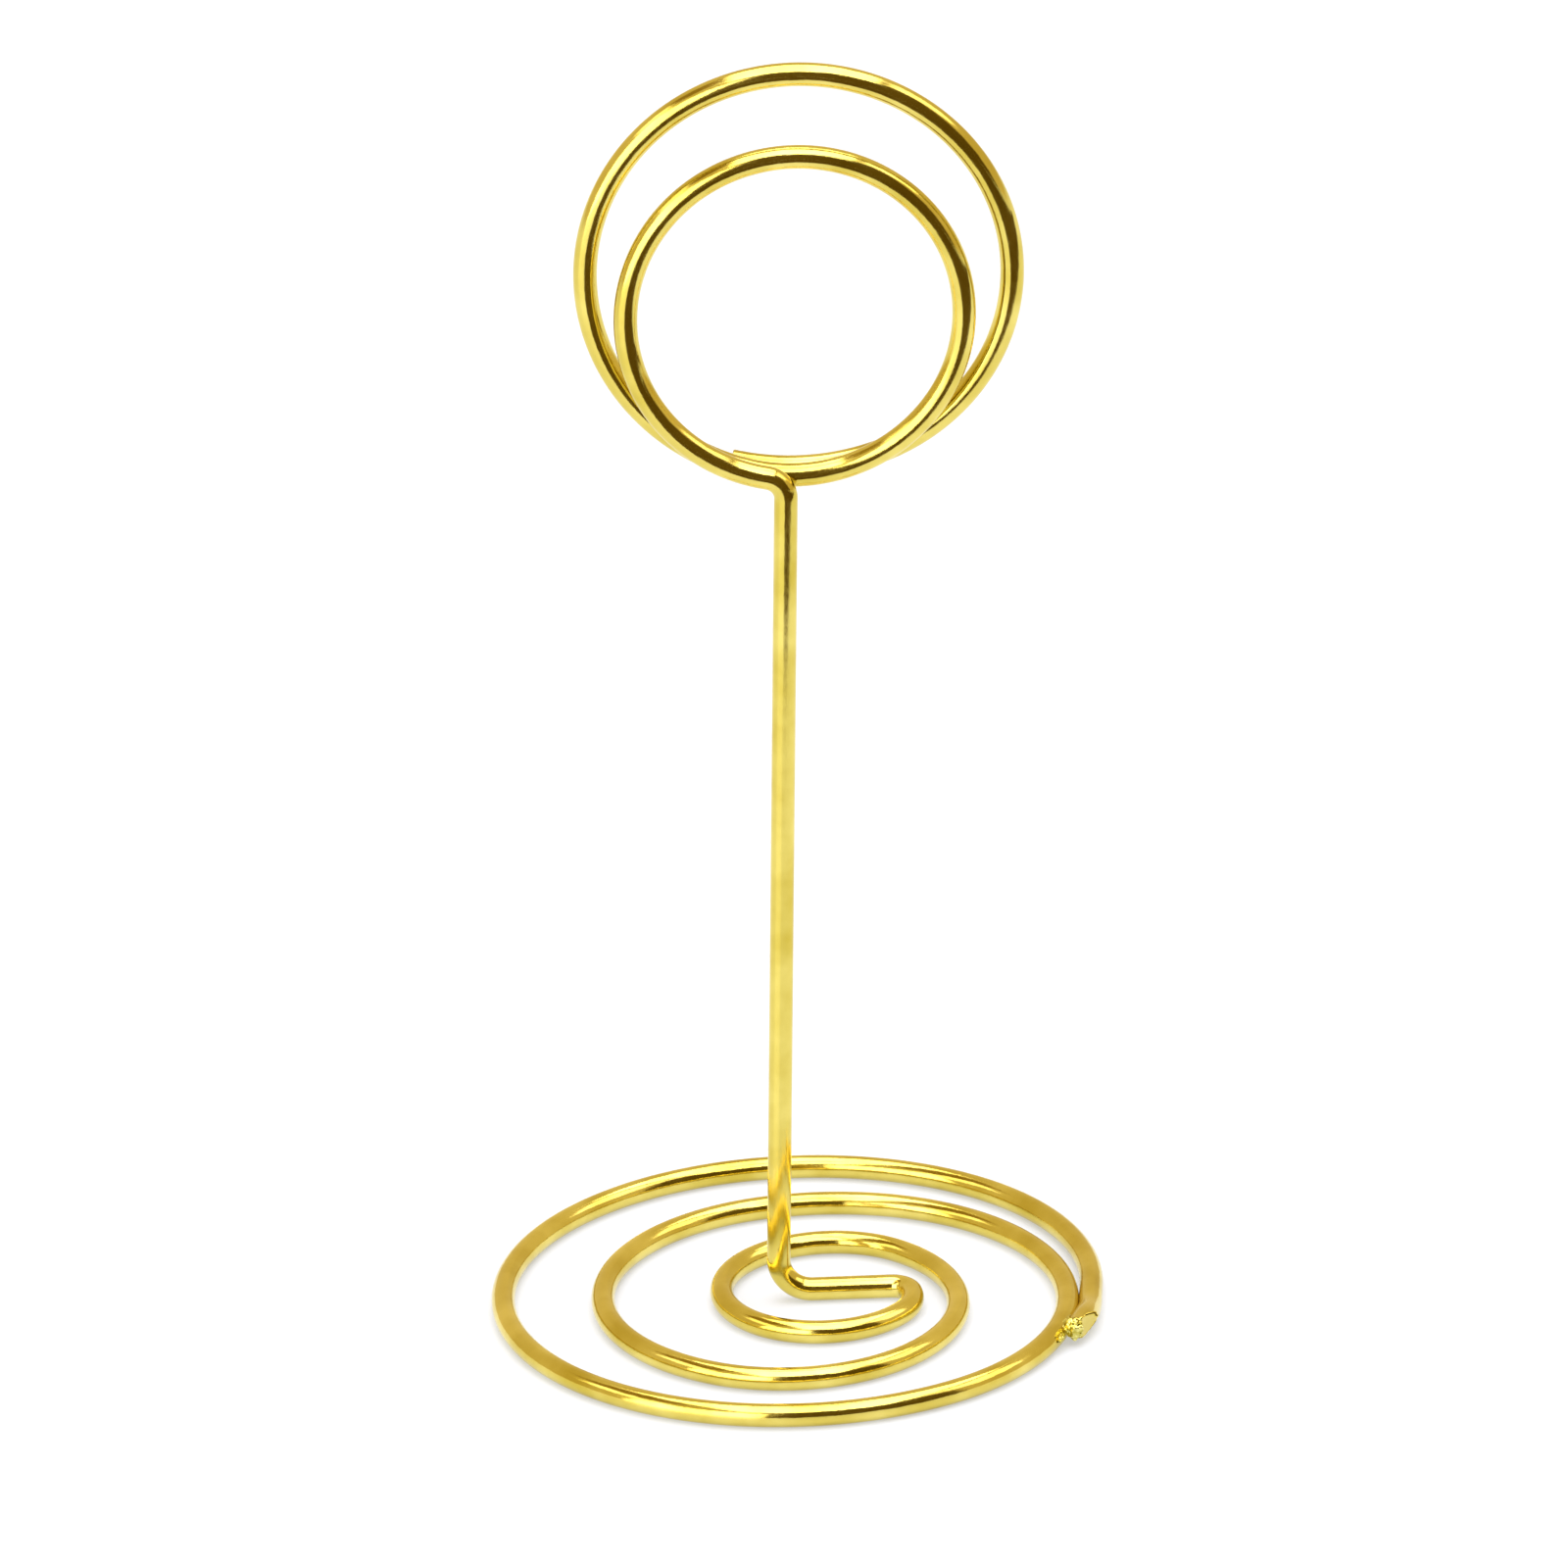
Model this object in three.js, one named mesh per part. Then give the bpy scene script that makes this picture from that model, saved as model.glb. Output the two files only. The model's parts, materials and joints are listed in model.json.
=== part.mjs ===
// Table number holder: one round wire, coiled flat into a base, bent up into a stem and coiled again
// into two overlapping rings that pinch a card. A small weld closes the base. Millimetres, +Z up,
// the origin on the table at the centre of the outer base ring, +Y away from the person who reads it.
//
// The wire is made as its formed stretches, each a closed solid, laid end to end.

import * as THREE from 'three';

// ---- driving dimensions (mm and degrees) ----

const WIRE = 1.5;              // wire diameter
const SIDES = 12;              // sides of the wire's section, one of them flat on the table
const JOINT_GAP = 0.05;        // gap between two stretches that meet face to face
const SPRING_GAP = 0.2;        // the same where the rear ring springs away from the front ring

const RING_RADIUS = 18.75;     // outer base ring, at the wire's centre
const RING_OPENS = 299;        // bearing where the wire leaves the ring for the middle turn
const OVERLAP_SIDE = 1.45;     // how far outside the middle turn the cut end lies
const OVERLAP_RISE = 0.5;      // how far it is pressed up on it
const OVERLAP_SWEEP = 16.5;    // how far it runs along it
const OVERLAP_RISEN = 0.8;     // share of that by which it has risen

// The base's turns, each rolled to a radius through an angle, from the outer ring inwards.
const MIDDLE_TURN = [{ radius: 15.65, sweep: 165.5 }, { radius: 13.3, sweep: 136.5 }];
const INNER_TURN = [{ radius: 10.6, sweep: 168.5 }, { radius: 6.85, sweep: 176.5 }, { radius: 6.2, sweep: 97 }];
const HAIRPIN = [{ radius: 3.8, sweep: 48 }, { radius: 1.3, sweep: 79 }];

const STEM_X = -1.2;           // where the stem's line meets the base
const STEM_LEAN = 2.4;         // towards +X
const STEM_LENGTH = 54.5;      // from the base wire's centre to the start of the neck
const FOOT_RADIUS = 2.1;
const NECK_RADIUS = 1.4;
const NECK_SWEEP = 81;

const FRONT_RING = [{ radius: 10.55, sweep: 247 }, { radius: 10.8, sweep: 115 }];
const REAR_RING = [{ radius: 13.3, sweep: 330 }, { radius: 15.5, sweep: 31.6 }];
// How deep each ring lies: it backs off by a little more than a wire in a turn, its left side is
// turned forwards or backwards, and its top leans back or forwards.
const FRONT_DEPTH = { pitch: 1.58, leftBack: -0.26, topBack: 0.45 };
const REAR_DEPTH = { pitch: 1.8, leftBack: 0.22, topBack: -0.24 };

const WELD_LENGTH = 2.2;       // bead laid in the groove beside the cut end
const WELD_RADIUS = 0.34;
const WELD_CLEARANCE = 0.03;   // from both wires
const WELD_BACK = 0.9;         // from the cut end to the bead's middle

const SAGITTA = 0.03;          // how far a facet may stray from its arc
const TIGHT_STEP = 15;         // and the most that one step may turn

// ---- finish ----

const plating = new THREE.Color(0.84, 0.68, 0.27);
const goldWire = () => new THREE.MeshStandardMaterial({ color: plating, roughness: 0.16, metalness: 1 });
const weldMetal = () => new THREE.MeshStandardMaterial({ color: plating, roughness: 0.38, metalness: 1 });

// ---- formed wire ----

const rad = THREE.MathUtils.degToRad;
const deg = THREE.MathUtils.radToDeg;
const LEFT = 1;
const RIGHT = -1;

// Draws straights and arcs in a plane. The heading is in degrees from the plane's first axis.
class Pen {
  constructor(u, v, heading) {
    Object.assign(this, { u, v, heading });
  }

  draw(length, curvature) {
    const leg = { u: this.u, v: this.v, heading: this.heading, length, curvature };
    Object.assign(this, along(leg, length));
    return leg;
  }

  straight(length) {
    return [this.draw(length, 0)];
  }

  arcs(list, side) {
    return list.map(({ radius, sweep }) => this.draw(radius * rad(sweep), side / radius));
  }
}

// The place and heading at a distance along one straight or arc.
function along({ u, v, heading, curvature }, distance) {
  const from = rad(heading);
  if (curvature === 0) {
    return { u: u + distance * Math.cos(from), v: v + distance * Math.sin(from), heading };
  }
  const to = from + distance * curvature;
  return {
    u: u + (Math.sin(to) - Math.sin(from)) / curvature,
    v: v - (Math.cos(to) - Math.cos(from)) / curvature,
    heading: deg(to),
  };
}

// A stretch of the wire's centre line. place turns what along gives, and the distance from the
// stretch's start, into a point in space.
class Stretch extends THREE.Curve {
  constructor(legs, place, gapBefore = JOINT_GAP, gapAfter = JOINT_GAP) {
    super();
    this.legs = legs;
    this.place = place;
    this.from = gapBefore / 2;
    this.to = legs.reduce((sum, leg) => sum + leg.length, 0) - gapAfter / 2;
  }

  getPoint(t, target = new THREE.Vector3()) {
    const distance = this.from + t * (this.to - this.from);
    let left = distance;
    let i = 0;
    while (i < this.legs.length - 1 && left > this.legs[i].length) {
      left -= this.legs[i].length;
      i += 1;
    }
    return target.copy(this.place(along(this.legs[i], left), distance));
  }

  // As many steps as keep every facet close to the tightest arc.
  steps() {
    const curvature = Math.max(...this.legs.map((leg) => Math.abs(leg.curvature)));
    if (curvature === 0) return 1;
    const step = Math.min(Math.sqrt(8 * SAGITTA / curvature), rad(TIGHT_STEP) / curvature);
    return Math.ceil((this.to - this.from) / step);
  }
}

// The wire's section: a regular polygon just inside the round wire.
function wireSection() {
  const section = new THREE.Shape();
  for (let i = 0; i < SIDES; i += 1) {
    const angle = 2 * Math.PI * (i + 0.5) / SIDES;
    const corner = [WIRE / 2 * Math.cos(angle), WIRE / 2 * Math.sin(angle)];
    if (i === 0) section.moveTo(...corner);
    else section.lineTo(...corner);
  }
  section.closePath();
  return section;
}

function wire(name, stretch) {
  const options = { steps: stretch.steps(), bevelEnabled: false, extrudePath: stretch };
  const mesh = new THREE.Mesh(new THREE.ExtrudeGeometry(wireSection(), options), goldWire());
  mesh.name = name;
  return mesh;
}

const FLOOR_WIRE = WIRE / 2 * Math.cos(Math.PI / SIDES); // the centre's height above the table

// ---- the base, drawn in plan at the height of the wire's centre ----

const inPlan = ({ u, v }) => new THREE.Vector3(u, v, 0);

// A pen set down where the middle turn leaves the outer ring.
function penOnRing(heading) {
  const opens = rad(RING_OPENS);
  return new Pen(RING_RADIUS * Math.cos(opens), RING_RADIUS * Math.sin(opens), heading);
}

// The outer ring runs clockwise from where the middle turn joins it, right round to where a straight
// brings it alongside the middle turn, and ends in the cut end that lies beside that turn.
function outerTurn() {
  const middle = MIDDLE_TURN[0].radius;
  const overlapRadius = middle + OVERLAP_SIDE;
  const centreOffset = RING_RADIUS - middle;
  const turnOn = deg(Math.acos((RING_RADIUS - overlapRadius) / centreOffset));
  const run = centreOffset * Math.sin(rad(turnOn));
  const pen = penOnRing(RING_OPENS - 90);
  const legs = [
    ...pen.arcs([{ radius: RING_RADIUS, sweep: 360 - turnOn }], RIGHT),
    ...pen.straight(run),
    ...pen.arcs([{ radius: overlapRadius, sweep: OVERLAP_SWEEP }], RIGHT),
  ];
  const overlapStarts = legs[0].length + legs[1].length;
  const risen = overlapStarts + OVERLAP_RISEN * legs[2].length;
  const place = ({ u, v }, distance) => {
    const rise = OVERLAP_RISE * THREE.MathUtils.smoothstep(distance, overlapStarts, risen);
    return new THREE.Vector3(u, v, rise);
  };
  return { stretch: new Stretch(legs, place, JOINT_GAP, 0), cutEnd: pen, overlapRadius };
}

// The bead lies lengthwise in the groove on top of the two wires, just before the cut end.
function weldBead({ cutEnd, overlapRadius }) {
  const tilt = Math.atan2(OVERLAP_RISE, OVERLAP_SIDE);
  const apart = Math.hypot(OVERLAP_RISE, OVERLAP_SIDE) / 2;
  const reach = WIRE / 2 + WELD_RADIUS + WELD_CLEARANCE;
  const above = Math.sqrt(reach ** 2 - apart ** 2);
  const towards = (heading) => new THREE.Vector2(-Math.sin(rad(heading)), Math.cos(rad(heading)));
  const heading = cutEnd.heading + deg(WELD_BACK / overlapRadius);
  const beadRadius = overlapRadius - OVERLAP_SIDE / 2 - above * Math.sin(tilt);
  const at = new THREE.Vector2(cutEnd.u, cutEnd.v);
  at.addScaledVector(towards(cutEnd.heading), -overlapRadius);
  at.addScaledVector(towards(heading), beadRadius);
  const bead = new THREE.Mesh(new THREE.SphereGeometry(1, 16, 12), weldMetal());
  bead.scale.set(WELD_LENGTH / 2, WELD_RADIUS, WELD_RADIUS);
  bead.rotation.z = rad(heading);
  bead.position.set(at.x, at.y, OVERLAP_RISE / 2 + above * Math.cos(tilt));
  bead.name = 'weld_bead';
  return bead;
}

const basePen = penOnRing(RING_OPENS + 90);
const middleTurn = new Stretch(basePen.arcs(MIDDLE_TURN, LEFT), inPlan);
const innerTurn = new Stretch(basePen.arcs(INNER_TURN, LEFT), inPlan);
const hairpin = new Stretch(basePen.arcs(HAIRPIN, LEFT), inPlan);
const legStart = { u: basePen.u, v: basePen.v };
const outer = outerTurn();

const base = new THREE.Group();
base.position.z = FLOOR_WIRE;
base.add(
  wire('base_outer_turn', outer.stretch),
  weldBead(outer),
  wire('base_middle_turn', middleTurn),
  wire('base_inner_turn', innerTurn),
  wire('hairpin_bend', hairpin),
);

// ---- the foot, stem, neck and clip, drawn in the upright plane through the leg ----

const inFront = ({ u, v }) => new THREE.Vector3(u, 0, v);

const footTurn = 90 + STEM_LEAN;
const footTangent = FOOT_RADIUS * Math.tan(rad(footTurn / 2));
const pen = new Pen(legStart.u, 0, 180);
const footLeg = new Stretch(pen.straight(legStart.u - STEM_X - footTangent), inFront);
const footBend = new Stretch(pen.arcs([{ radius: FOOT_RADIUS, sweep: footTurn }], RIGHT), inFront);
const stem = new Stretch(pen.straight(STEM_LENGTH - footTangent), inFront);
const neckBend = new Stretch(pen.arcs([{ radius: NECK_RADIUS, sweep: NECK_SWEEP }], LEFT), inFront);

// How far back a ring lies at a bearing, which is 0 at the bottom, 90 on the left and 180 at the top.
function ringDepth({ pitch, leftBack, topBack }, bearing) {
  const lean = topBack * (1 - Math.cos(rad(bearing))) / 2;
  return pitch * bearing / 360 + leftBack * Math.sin(rad(bearing)) + lean;
}

// A ring is drawn clockwise, from the depth where the wire before it ends.
function ring(list, depth, startDepth, gapBefore, gapAfter) {
  const shift = startDepth - ringDepth(depth, 180 - pen.heading);
  const depthNow = ({ heading }) => shift + ringDepth(depth, 180 - heading);
  const place = (at) => new THREE.Vector3(at.u, depthNow(at), at.v);
  const stretch = new Stretch(pen.arcs(list, RIGHT), place, gapBefore, gapAfter);
  return { stretch, endDepth: depthNow(pen) };
}

const frontRing = ring(FRONT_RING, FRONT_DEPTH, 0, JOINT_GAP, SPRING_GAP);
const rearRing = ring(REAR_RING, REAR_DEPTH, frontRing.endDepth, SPRING_GAP, 0);

const upright = new THREE.Group();
upright.position.set(0, legStart.v, FLOOR_WIRE);
upright.add(
  wire('foot_leg', footLeg),
  wire('foot_bend', footBend),
  wire('stem', stem),
  wire('neck_bend', neckBend),
  wire('clip_front_ring', frontRing.stretch),
  wire('clip_rear_ring', rearRing.stretch),
);

const holder = new THREE.Group();
holder.add(base, upright);

export default holder;
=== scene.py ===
"""Table number holder: the gold wire, its weld and a plain studio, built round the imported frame."""

import json
import math

import bmesh
import bpy
from mathutils import Matrix, Vector, noise


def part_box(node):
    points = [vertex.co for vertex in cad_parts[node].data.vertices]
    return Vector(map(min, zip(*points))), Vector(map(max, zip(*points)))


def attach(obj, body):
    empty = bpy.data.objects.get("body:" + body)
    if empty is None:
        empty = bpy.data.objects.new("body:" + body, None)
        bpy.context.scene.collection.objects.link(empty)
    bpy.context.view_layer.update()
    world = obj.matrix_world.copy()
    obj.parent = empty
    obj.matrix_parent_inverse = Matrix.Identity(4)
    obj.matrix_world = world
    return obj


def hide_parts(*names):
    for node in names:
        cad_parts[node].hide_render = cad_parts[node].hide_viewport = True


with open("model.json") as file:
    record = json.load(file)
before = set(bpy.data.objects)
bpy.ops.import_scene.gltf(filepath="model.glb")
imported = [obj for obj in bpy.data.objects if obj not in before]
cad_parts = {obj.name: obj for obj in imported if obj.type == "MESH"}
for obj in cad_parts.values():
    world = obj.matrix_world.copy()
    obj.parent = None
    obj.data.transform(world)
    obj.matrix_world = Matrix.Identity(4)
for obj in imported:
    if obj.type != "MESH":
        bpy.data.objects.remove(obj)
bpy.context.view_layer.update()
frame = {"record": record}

MM = 0.001

# ---- driving dimensions of the wire, in mm and degrees, as in the CAD source ----

WIRE = 1.5
RING_RADIUS = 18.75
RING_OPENS = 299
OVERLAP_SIDE = 1.45
OVERLAP_RISE = 0.5
OVERLAP_SWEEP = 16.5
OVERLAP_RISEN = 0.8
MIDDLE_TURN = [(15.65, 165.5), (13.3, 136.5)]
INNER_TURN = [(10.6, 168.5), (6.85, 176.5), (6.2, 97)]
HAIRPIN = [(3.8, 48), (1.3, 79)]
STEM_X = -1.2
STEM_LEAN = 2.4
STEM_LENGTH = 54.5
FOOT_RADIUS = 2.1
NECK_RADIUS = 1.4
NECK_SWEEP = 81
FRONT_RING = [(10.55, 247), (10.8, 115)]
REAR_RING = [(13.3, 330), (15.5, 31.6)]
FRONT_DEPTH = (1.58, -0.26, 0.45)   # pitch, left side back, top back
REAR_DEPTH = (1.8, 0.22, -0.24)

LEFT = 1
RIGHT = -1

# ---- mesh fineness ----

SIDES = 32
STEP = 0.4          # mm between sections
STEP_TURN = 5       # and the most degrees that one step turns
DEPTH_BLEND = 2.5   # mm over which one ring's depth runs smoothly into the next

# ---- the cut end and its weld, in mm ----

CUT_BEVEL = 0.12
BEVEL_STEPS = 6
CUT_SLANT = 9        # degrees between the pinched flat and the wire
CUT_LEAVES = 0.34    # of wire left outside its middle, at the very end
CREASE_WIDTH = 0.10  # along the edge of that flat
CREASE_FACES = Vector((0.1, -0.95, 0.3))

# Each lump of the weld: how far it lies inwards, past the cut end and below, its half sizes along
# the wire, across it and upright, and how rough it is.
END_LUMP = (0.20, 0.05, 0.05), (0.40, 0.58, 0.70), 0.30
DRIP_LUMP = (0.72, 1.10, 0.30), (0.50, 0.16, 0.24), 0.30
SEAM_SINKS = 0.65
SEAM_SIZE = (1.10, 0.26, 0.30)
SEAM_ROUGHNESS = 0.22

# ---- colours ----

PLATING_DEEP = (0.61, 0.475, 0.065, 1)
PLATING_PALE = (0.81, 0.680, 0.175, 1)
WELD_DEEP = (0.42, 0.34, 0.02, 1)
WELD_PALE = (0.86, 0.80, 0.26, 1)
FLOOR_TONE = (0.327, 0.354, 0.439, 1)   # a cool white, since the room lights it warm
FLOOR_GLOW = 0.45
ROOM_TONE = (1, 0.62, 0.10, 1)
WALL_TONE = (1, 0.80, 0.44, 1)
WHITE = (1, 1, 1, 1)

# ---- studio, in metres ----

FLOOR_HALF = 4.0
LAMPS_HANG = 1.0
CEILING_HANGS = 1.02
CLOTH_LIES = 0.0005
WALL_STANDS = 1.7    # behind the holder


# ---- the wire's centre line ----

class Pen:
    """Draws straights and arcs in a plane; the heading is in degrees from its first axis."""

    def __init__(self, u, v, heading):
        self.u = u
        self.v = v
        self.heading = heading

    def draw(self, length, curvature):
        """The points of one straight or arc, after its first point, as (u, v, heading, distance)."""
        turn = abs(math.degrees(length * curvature))
        count = max(1, math.ceil(length / STEP), math.ceil(turn / STEP_TURN))
        u, v, start = self.u, self.v, math.radians(self.heading)
        points = []
        for i in range(1, count + 1):
            distance = length * i / count
            now = start + distance * curvature
            if curvature:
                self.u = u + (math.sin(now) - math.sin(start)) / curvature
                self.v = v - (math.cos(now) - math.cos(start)) / curvature
            else:
                self.u = u + distance * math.cos(start)
                self.v = v + distance * math.sin(start)
            self.heading = math.degrees(now)
            points.append((self.u, self.v, self.heading, distance))
        return points

    def straight(self, length):
        return self.draw(length, 0)

    def arcs(self, arcs, side):
        points = []
        for radius, sweep in arcs:
            done = points[-1][3] if points else 0
            drawn = self.draw(radius * math.radians(sweep), side / radius)
            points += [(u, v, heading, done + distance) for u, v, heading, distance in drawn]
        return points


def smoothstep(x, low, high):
    t = min(max((x - low) / (high - low), 0), 1)
    return t * t * (3 - 2 * t)


def ring_depth(depth, bearing):
    """How far back a ring lies at a bearing, which is 0 at the bottom, 90 on the left and 180 on top."""
    pitch, left_back, top_back = depth
    angle = math.radians(bearing)
    return pitch * bearing / 360 + left_back * math.sin(angle) + top_back * (1 - math.cos(angle)) / 2


def outer_turn():
    """From the cut end round the outer ring to where the middle turn starts."""
    middle = MIDDLE_TURN[0][0]
    overlap_radius = middle + OVERLAP_SIDE
    offset = RING_RADIUS - middle
    turn_on = math.acos((RING_RADIUS - overlap_radius) / offset)
    opens = math.radians(RING_OPENS)
    pen = Pen(RING_RADIUS * math.cos(opens), RING_RADIUS * math.sin(opens), RING_OPENS - 90)
    first = Vector((pen.u, pen.v, WIRE / 2))
    ring = pen.arcs([(RING_RADIUS, 360 - math.degrees(turn_on))], RIGHT)
    ring += pen.straight(offset * math.sin(turn_on))
    overlap = pen.arcs([(overlap_radius, OVERLAP_SWEEP)], RIGHT)
    risen = OVERLAP_RISEN * overlap[-1][3]
    points = [first] + [Vector((u, v, WIRE / 2)) for u, v, _, _ in ring]
    for u, v, _, distance in overlap:
        points.append(Vector((u, v, WIRE / 2 + OVERLAP_RISE * smoothstep(distance, 0, risen))))
    return points[::-1]


def centre_line():
    """The whole wire as one list of points, and where each stretch starts and ends in it."""
    points = outer_turn()
    ends = {"base_outer_turn": (0, len(points) - 1)}

    def add(name, stretch):
        ends[name] = (len(points) - 1, len(points) - 1 + len(stretch))
        points.extend(stretch)

    opens = math.radians(RING_OPENS)
    pen = Pen(RING_RADIUS * math.cos(opens), RING_RADIUS * math.sin(opens), RING_OPENS + 90)
    for name, arcs in (("base_middle_turn", MIDDLE_TURN), ("base_inner_turn", INNER_TURN),
                       ("hairpin_bend", HAIRPIN)):
        add(name, [Vector((u, v, WIRE / 2)) for u, v, _, _ in pen.arcs(arcs, LEFT)])

    leg_y = pen.v
    foot_turn = 90 + STEM_LEAN
    foot_tangent = FOOT_RADIUS * math.tan(math.radians(foot_turn / 2))
    pen = Pen(pen.u, WIRE / 2, 180)

    def upright(drawn):
        return [Vector((u, leg_y, v)) for u, v, _, _ in drawn]

    def ring(arcs, depth):
        """A ring of the clip, which starts as far back as the wire has come."""
        shift = points[-1].y - ring_depth(depth, 180 - pen.heading)
        return [Vector((u, shift + ring_depth(depth, 180 - heading), v))
                for u, v, heading, _ in pen.arcs(arcs, RIGHT)]

    add("foot_leg", upright(pen.straight(pen.u - STEM_X - foot_tangent)))
    add("foot_bend", upright(pen.arcs([(FOOT_RADIUS, foot_turn)], RIGHT)))
    add("stem", upright(pen.straight(STEM_LENGTH - foot_tangent)))
    add("neck_bend", upright(pen.arcs([(NECK_RADIUS, NECK_SWEEP)], LEFT)))
    add("clip_front_ring", ring(FRONT_RING, FRONT_DEPTH))
    add("clip_rear_ring", ring(REAR_RING, REAR_DEPTH))
    return points, ends


def lengths_along(points):
    """The distance along the wire of each point, in mm."""
    lengths = [0.0]
    for a, b in zip(points, points[1:]):
        lengths.append(lengths[-1] + (b - a).length)
    return lengths


def ease_depth(points, lengths, ends):
    """Runs the depth of each ring smoothly into what comes before it."""
    eased = {}
    for name in ("clip_front_ring", "clip_rear_ring"):
        start = ends[name][0]
        for i in range(len(points)):
            if abs(lengths[i] - lengths[start]) > DEPTH_BLEND:
                continue
            near = [j for j in range(len(points))
                    if abs(lengths[j] - lengths[i]) <= DEPTH_BLEND / 2]
            eased[i] = sum(points[j].y for j in near) / len(near)
    for i, y in eased.items():
        points[i].y = y


def frames_along(points):
    """The tangent at each point and a normal that turns with the wire without twisting."""
    last = len(points) - 1
    tangents = [(points[min(i + 1, last)] - points[max(i - 1, 0)]).normalized()
                for i in range(last + 1)]
    normals = [Vector((0, 0, 1))]
    for i, tangent in enumerate(tangents):
        carried = normals[-1]
        if i:
            carried = tangents[i - 1].rotation_difference(tangent) @ carried
        normals.append((carried - tangent * carried.dot(tangent)).normalized())
    return tangents, normals[1:]


# ---- materials ----

def new_material(name):
    material = bpy.data.materials.new(name)
    material.use_nodes = True
    nodes = material.node_tree.nodes
    return material, nodes, material.node_tree.links, nodes["Principled BSDF"]


def ramp(nodes, low, high, low_value, high_value):
    """A colour ramp from one colour at low to another at high."""
    made = nodes.new("ShaderNodeValToRGB")
    made.color_ramp.elements[0].position = low
    made.color_ramp.elements[0].color = low_value
    made.color_ramp.elements[1].position = high
    made.color_ramp.elements[1].color = high_value
    return made


def grey(value):
    return (value, value, value, 1)


def gold_wire():
    """Polished gold plating over drawn wire: faint draw lines, soft clouding and a slight waviness."""
    material, nodes, links, shader = new_material("gold_wire")
    shader.inputs["Metallic"].default_value = 1
    where = nodes.new("ShaderNodeTexCoord")

    tone = nodes.new("ShaderNodeTexNoise")
    tone.inputs["Scale"].default_value = 260
    tone.inputs["Detail"].default_value = 3
    links.new(where.outputs["Object"], tone.inputs["Vector"])
    tint = ramp(nodes, 0.3, 0.7, PLATING_DEEP, PLATING_PALE)
    links.new(tone.outputs["Fac"], tint.inputs["Fac"])
    links.new(tint.outputs["Color"], shader.inputs["Base Color"])

    stretch = nodes.new("ShaderNodeMapping")
    stretch.inputs["Scale"].default_value = (0.35, 9, 1)
    links.new(where.outputs["UV"], stretch.inputs["Vector"])
    lines = nodes.new("ShaderNodeTexNoise")
    lines.inputs["Scale"].default_value = 3.2
    lines.inputs["Detail"].default_value = 6
    lines.inputs["Roughness"].default_value = 0.62
    links.new(stretch.outputs["Vector"], lines.inputs["Vector"])

    gloss = ramp(nodes, 0.35, 0.75, grey(0.085), grey(0.20))
    links.new(lines.outputs["Fac"], gloss.inputs["Fac"])
    links.new(gloss.outputs["Color"], shader.inputs["Roughness"])

    drawn = nodes.new("ShaderNodeBump")
    drawn.inputs["Strength"].default_value = 0.26
    drawn.inputs["Distance"].default_value = 0.00002
    links.new(lines.outputs["Fac"], drawn.inputs["Height"])

    waves = nodes.new("ShaderNodeTexNoise")
    waves.inputs["Scale"].default_value = 420
    waves.inputs["Detail"].default_value = 2
    links.new(where.outputs["Object"], waves.inputs["Vector"])
    wavy = nodes.new("ShaderNodeBump")
    wavy.inputs["Strength"].default_value = 0.25
    wavy.inputs["Distance"].default_value = 0.00004
    links.new(waves.outputs["Fac"], wavy.inputs["Height"])
    links.new(drawn.outputs["Normal"], wavy.inputs["Normal"])
    links.new(wavy.outputs["Normal"], shader.inputs["Normal"])
    return material


def weld_metal():
    """Plating over the rough metal of the weld and the sheared end."""
    material, nodes, links, shader = new_material("weld_metal")
    shader.inputs["Metallic"].default_value = 1
    where = nodes.new("ShaderNodeTexCoord")
    grain = nodes.new("ShaderNodeTexNoise")
    grain.inputs["Scale"].default_value = 3200
    grain.inputs["Detail"].default_value = 5
    links.new(where.outputs["Object"], grain.inputs["Vector"])
    tint = ramp(nodes, 0.35, 0.65, WELD_DEEP, WELD_PALE)
    links.new(grain.outputs["Fac"], tint.inputs["Fac"])
    links.new(tint.outputs["Color"], shader.inputs["Base Color"])
    gloss = ramp(nodes, 0.3, 0.7, grey(0.10), grey(0.30))
    links.new(grain.outputs["Fac"], gloss.inputs["Fac"])
    links.new(gloss.outputs["Color"], shader.inputs["Roughness"])
    bump = nodes.new("ShaderNodeBump")
    bump.inputs["Strength"].default_value = 0.6
    bump.inputs["Distance"].default_value = 0.00005
    links.new(grain.outputs["Fac"], bump.inputs["Height"])
    links.new(bump.outputs["Normal"], shader.inputs["Normal"])
    return material


def floor_white():
    """White board with a faint sheen, lit a little by itself so that its shadows stay light."""
    material, nodes, links, shader = new_material("floor_white")
    shader.inputs["Base Color"].default_value = FLOOR_TONE
    shader.inputs["Roughness"].default_value = 0.35
    shader.inputs["Specular IOR Level"].default_value = 0.12
    shader.inputs["Emission Color"].default_value = WHITE
    shader.inputs["Emission Strength"].default_value = FLOOR_GLOW
    return material


# ---- pieces ----

def link(name, mesh, material):
    mesh.materials.append(material)
    obj = bpy.data.objects.new(name, mesh)
    bpy.context.scene.collection.objects.link(obj)
    return obj


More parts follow.
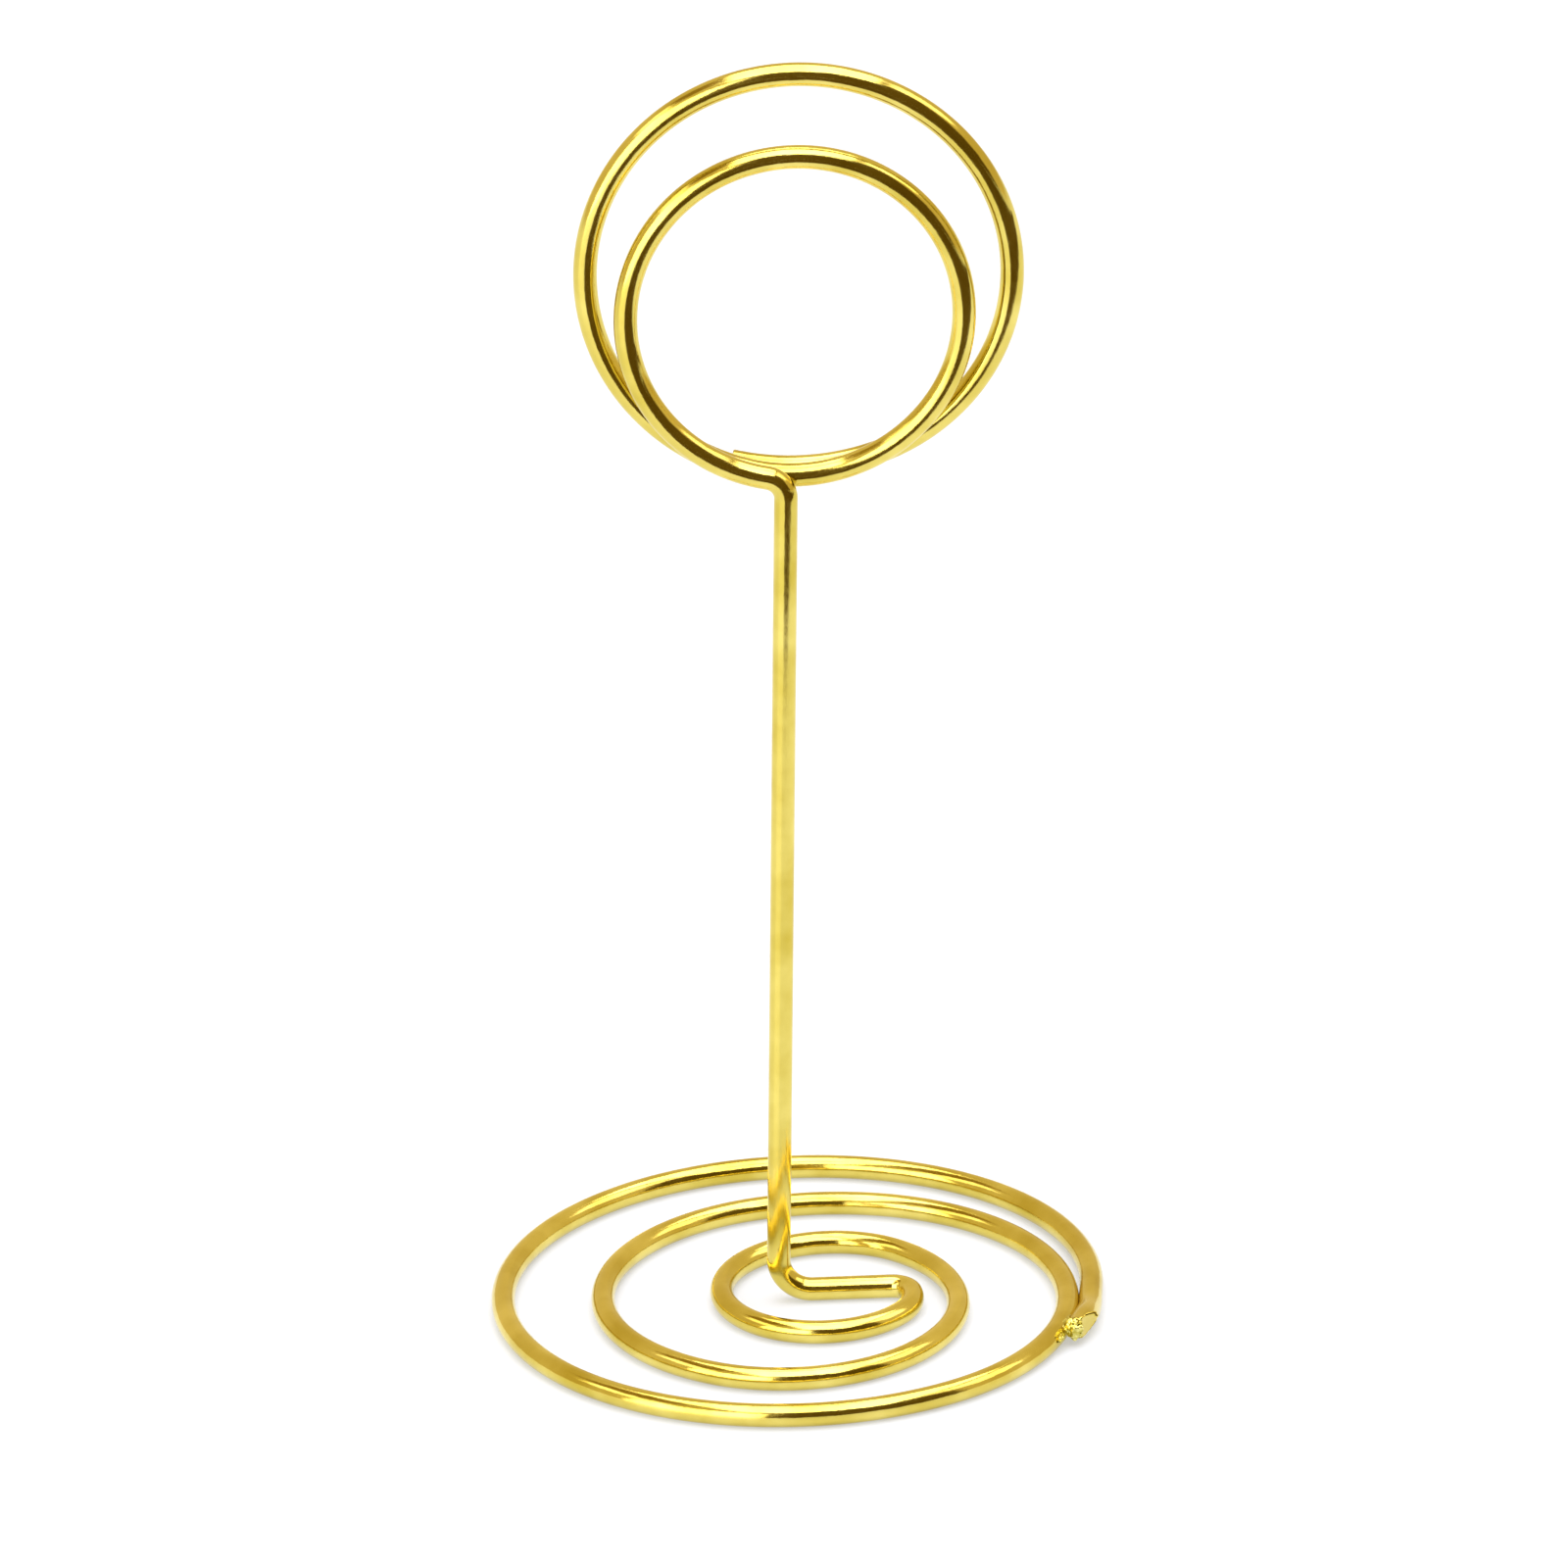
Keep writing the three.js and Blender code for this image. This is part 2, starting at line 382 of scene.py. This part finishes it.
def wire_mesh(name, points, tangents, normals, lengths, cap_start, cap_end):
    """A round tube through the given sections, closed at both ends, with exact normals on its side.

    cap_start and cap_end say which ends are the wire's own ends. Those get a small bevel, and the
    start of the wire is also pinched.
    """
    rings = []
    for i, (point, tangent, normal) in enumerate(zip(points, tangents, normals)):
        rings.append((point, tangent, normal, WIRE / 2, lengths[i]))
    if cap_start:
        rings = bevelled(rings)
    if cap_end:
        rings = bevelled(rings[::-1])[::-1]
    vertices, radial = [], []
    for point, tangent, normal, radius, _ in rings:
        across = tangent.cross(normal)
        for k in range(SIDES):
            angle = 2 * math.pi * k / SIDES
            out = normal * math.cos(angle) + across * math.sin(angle)
            place = point + out * radius
            if cap_start:
                place, out = pinched(place, out, points[0], tangents[0])
            vertices.append(place * MM)
            radial.append(out)
    faces, uvs, loop_normals = [], [], []
    for i in range(len(rings) - 1):
        for k in range(SIDES):
            after = (k + 1) % SIDES
            quad = (i * SIDES + k, i * SIDES + after, (i + 1) * SIDES + after, (i + 1) * SIDES + k)
            faces.append(quad)
            loop_normals += [radial[v] for v in quad]
            u0, u1 = rings[i][4], rings[i + 1][4]
            v0, v1 = k / SIDES, (k + 1) / SIDES
            uvs += [(u0, v0), (u0, v1), (u1, v1), (u1, v0)]
    for ring, flip in ((0, True), (len(rings) - 1, False)):
        loop = [ring * SIDES + k for k in range(SIDES)]
        facing = -rings[ring][1] if flip else rings[ring][1]
        faces.append(loop[::-1] if flip else loop)
        loop_normals += [facing] * SIDES
        uvs += [(rings[ring][4], 0.5)] * SIDES
    mesh = bpy.data.meshes.new(name)
    mesh.from_pydata(vertices, [], faces)
    layer = mesh.uv_layers.new(name="wire")
    for slot, uv in zip(layer.data, uvs):
        slot.uv = uv
    mesh.shade_smooth()
    mesh.normals_split_custom_set(loop_normals)
    return mesh


def pinched(place, out, end, along):
    """Presses a point of the wire onto the slanting flat on the outer side of its cut end."""
    outer = Vector((end.x, end.y, 0))
    outer = (outer - along * outer.dot(along)).normalized()
    slant = math.radians(CUT_SLANT)
    facing = outer * math.cos(slant) - along * math.sin(slant)
    beyond = (place - end - outer * CUT_LEAVES).dot(facing)
    if beyond > 0:
        return place - facing * beyond, facing
    if beyond > -CREASE_WIDTH:
        return place, CREASE_FACES.normalized()
    return place, out


def bevelled(rings):
    """Rounds off the first end of a tube, as a worn cut edge."""
    point, tangent, normal, radius, length = rings[0]
    inwards = (rings[1][0] - point).normalized()
    made = []
    for k in range(BEVEL_STEPS):
        angle = math.pi / 2 * k / (BEVEL_STEPS - 1)
        back = CUT_BEVEL * (1 - math.sin(angle))
        shrink = CUT_BEVEL * (1 - math.cos(angle))
        made.append((point + inwards * back, tangent, normal, radius - shrink, length))
    return made[::-1] + [ring for ring in rings if (ring[0] - point).length > CUT_BEVEL * 1.2]


BODY_OF = {node: body for body, nodes in frame["record"]["behaviour"]["bodies"].items() for node in nodes}

line, stretches = centre_line()
distances = lengths_along(line)
ease_depth(line, distances, stretches)
line_tangents, line_normals = frames_along(line)
gold = gold_wire()
for node, (first, final) in stretches.items():
    part = slice(first, final + 1)
    mesh = wire_mesh(node + "_wire", line[part], line_tangents[part], line_normals[part],
                     distances[part], first == 0, final == len(line) - 1)
    piece = link(node + "_wire", mesh, gold)
    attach(piece, BODY_OF[node])
    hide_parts(node)


def weld_nugget():
    """The weld: a crumpled lump over the cut end, and a rough seam between it and the turn beside it."""
    low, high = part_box("weld_bead")
    end = line[0]
    along = line_tangents[0]
    turn = math.atan2(along.y, along.x)
    inwards = Vector((-end.x, -end.y, 0)).normalized()
    lumps = []
    for (inward, past, below), size, roughness in (END_LUMP, DRIP_LUMP):
        centre = end + inwards * inward - along * past - Vector((0, 0, below))
        lumps.append((centre, Vector(size), roughness))
    seam = (low + high) / 2 / MM - Vector((0, 0, SEAM_SINKS))
    lumps.append((seam, Vector(SEAM_SIZE), SEAM_ROUGHNESS))
    bm = bmesh.new()
    for centre, size, roughness in lumps:
        made = bmesh.ops.create_icosphere(bm, subdivisions=4, radius=1)
        place = Matrix.Translation(centre) @ Matrix.Rotation(turn, 4, "Z")
        for vertex in made["verts"]:
            at = vertex.co.copy()
            cell = noise.cell_vector(at * 2.4 + centre)
            swell = 1 + roughness * noise.noise(at * 2.3 + centre) + 0.16 * roughness * cell.x
            vertex.co = place @ (at * size * swell) * MM
    mesh = bpy.data.meshes.new("weld_nugget")
    bm.to_mesh(mesh)
    bm.free()
    return mesh


nugget = link("weld_nugget", weld_nugget(), weld_metal())
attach(nugget, BODY_OF["weld_bead"])
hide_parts("weld_bead")


# ---- studio ----

def card(name, corners, material):
    mesh = bpy.data.meshes.new(name)
    mesh.from_pydata(corners, [], [(0, 1, 2, 3)])
    obj = link(name, mesh, material)
    return obj


def glowing(name, strength, color):
    """A surface that only gives off light, the same from every side."""
    material = bpy.data.materials.new(name)
    material.use_nodes = True
    nodes = material.node_tree.nodes
    nodes.remove(nodes["Principled BSDF"])
    glow = nodes.new("ShaderNodeEmission")
    glow.inputs["Strength"].default_value = strength
    glow.inputs["Color"].default_value = color
    material.node_tree.links.new(glow.outputs["Emission"], nodes["Material Output"].inputs["Surface"])
    return material


card("floor", [(-FLOOR_HALF, -FLOOR_HALF, 0), (FLOOR_HALF, -FLOOR_HALF, 0),
               (FLOOR_HALF, FLOOR_HALF, 0), (-FLOOR_HALF, FLOOR_HALF, 0)], floor_white())


def softbox(name, centre, facing, width, height, strength):
    """A square-cornered area light, facing along a direction, with its radiance as strength."""
    data = bpy.data.lights.new(name, "AREA")
    data.shape = "RECTANGLE"
    data.size = width
    data.size_y = height
    data.energy = strength * math.pi * width * height
    obj = bpy.data.objects.new(name, data)
    obj.location = centre
    obj.rotation_euler = Vector(facing).to_track_quat("-Z", "Y").to_euler()
    bpy.context.scene.collection.objects.link(obj)
    return obj


def overhead(name, left, right, front, back, strength):
    """A softbox that hangs level at the height of the lamps and spans these edges."""
    centre = ((left + right) / 2, (front + back) / 2, LAMPS_HANG)
    return softbox(name, centre, (0, 0, -1), right - left, back - front, strength)


def bearing(degrees, distance, height):
    """A place at a bearing, which is 0 in front of the holder and positive to its right."""
    angle = math.radians(degrees)
    return Vector((distance * math.sin(angle), -distance * math.cos(angle), height))


def unseen(name, corners, strength, tone):
    """A panel that shows only in reflections, though it still casts a shadow."""
    panel = card(name, corners, glowing(name, strength, tone))
    panel.visible_camera = False
    panel.visible_diffuse = False
    return panel


def upright_panel(name, left, right, distance, height, strength, tone):
    """A panel that stands on the floor between two bearings."""
    a, b = bearing(left, distance, 0), bearing(right, distance, 0)
    lift = Vector((0, 0, height))
    return unseen(name, [a, b, b + lift, a + lift], strength, tone)


overhead("top_softbox", -0.38, 0.58, -0.86, 0.58, 3.6)
overhead("right_softbox", 0.67, 1.70, -0.40, 0.45, 1.7)
overhead("left_softbox", -1.54, -0.90, -0.60, 0.20, 1.5)
window = bearing(-40, 1.3, 0.55)
softbox("window", window, (-window.x, -window.y, 0), 1.25, 1.1, 3.0)

unseen("ceiling", [(-0.90, -0.30, CEILING_HANGS), (0.75, -0.30, CEILING_HANGS),
                   (0.75, 0.50, CEILING_HANGS), (-0.90, 0.50, CEILING_HANGS)], 0.38, ROOM_TONE)
upright_panel("dark_room", -14, 62, 1.6, 1.6, 0.14, ROOM_TONE)
unseen("back_wall", [(-2.0, WALL_STANDS, 0), (0.6, WALL_STANDS, 0),
                     (0.6, WALL_STANDS, 1.1), (-2.0, WALL_STANDS, 1.1)], 0.85, WALL_TONE)

# A dark cloth lies on the board in front of the holder, outside the camera's view.
unseen("front_cloth", [(-0.30, -1.2, CLOTH_LIES), (0.70, -1.2, CLOTH_LIES),
                       (0.70, 0.10, CLOTH_LIES), (-0.025, -0.118, CLOTH_LIES)], 0.13, ROOM_TONE)

world = bpy.data.worlds.new("studio")
bpy.context.scene.world = world
world.use_nodes = True
world_nodes = world.node_tree.nodes
room = world_nodes["Background"]
room.inputs["Color"].default_value = WALL_TONE
room.inputs["Strength"].default_value = 0.80
pale = world_nodes.new("ShaderNodeBackground")
pale.inputs["Color"].default_value = WHITE
pale.inputs["Strength"].default_value = 1
seen = world_nodes.new("ShaderNodeLightPath")
mix = world_nodes.new("ShaderNodeMixShader")
world.node_tree.links.new(seen.outputs["Is Camera Ray"], mix.inputs["Fac"])
world.node_tree.links.new(room.outputs["Background"], mix.inputs[1])
world.node_tree.links.new(pale.outputs["Background"], mix.inputs[2])
world.node_tree.links.new(mix.outputs["Shader"], world_nodes["World Output"].inputs["Surface"])

# ---- camera ----

CAMERA_AT = Vector((0.32, -963.3, 448.85)) * MM
CAMERA_DIPS = 23.21      # degrees below level
CAMERA_ROLLS = -2.07     # degrees, turning the picture anticlockwise
LENS = 382.5

dip = math.radians(CAMERA_DIPS)
roll = math.radians(CAMERA_ROLLS)
level = Vector((1, 0, 0))
ahead = Vector((0, math.cos(dip), -math.sin(dip)))
above = Vector((0, math.sin(dip), math.cos(dip)))
right = level * math.cos(roll) + above * math.sin(roll)
up = above * math.cos(roll) - level * math.sin(roll)
camera_data = bpy.data.cameras.new("camera")
camera_data.lens = LENS
camera_data.sensor_width = 36
camera_data.clip_start = 0.05
camera_data.clip_end = 20
camera = bpy.data.objects.new("camera", camera_data)
camera.matrix_world = Matrix((right, up, -ahead)).transposed().to_4x4()
camera.location = CAMERA_AT
bpy.context.scene.collection.objects.link(camera)
bpy.context.scene.camera = camera
bpy.context.scene.view_settings.view_transform = "Standard"
